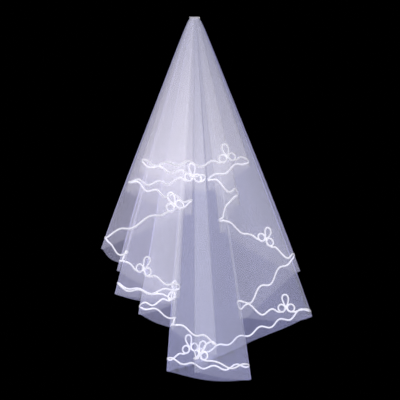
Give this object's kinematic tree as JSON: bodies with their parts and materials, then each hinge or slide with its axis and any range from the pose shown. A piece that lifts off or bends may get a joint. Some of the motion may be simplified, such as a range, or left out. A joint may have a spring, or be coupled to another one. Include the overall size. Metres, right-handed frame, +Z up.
{
  "type": "tulle bridal veil",
  "caption": "Sheer white tulle bridal veil gathered off centre into long cascading pleats, with a wavy satin cord and trefoil loops sewn inside the hem.",
  "frame": {"origin": "middle of the top of the gather, where the veil is fastened to the hair and hangs", "axes": "+Z up, +X to the right of the pictured face, -Y to the front, which is the shorter layer"},
  "size_m": [0.601, 0.2519, 1.0412],
  "materials": {
    "tulle": "sheer fine soft net, white with a faint lilac cast",
    "satin_cord": "round white satin cord with a soft sheen"
  },
  "bodies": {
    "root": {"tulle_sheet": "tulle", "gather_band": "satin_cord", "edge_cord_1": "satin_cord", "trefoil_1": "satin_cord", "edge_cord_2": "satin_cord", "trefoil_2": "satin_cord", "edge_cord_3": "satin_cord", "trefoil_3": "satin_cord", "edge_cord_4": "satin_cord", "trefoil_4": "satin_cord", "edge_cord_5": "satin_cord", "trefoil_5": "satin_cord", "edge_cord_6": "satin_cord", "trefoil_6": "satin_cord", "edge_cord_7": "satin_cord", "trefoil_7": "satin_cord", "edge_cord_8": "satin_cord", "trefoil_8": "satin_cord", "edge_cord_9": "satin_cord", "trefoil_9": "satin_cord"}
  },
  "joints": []
}
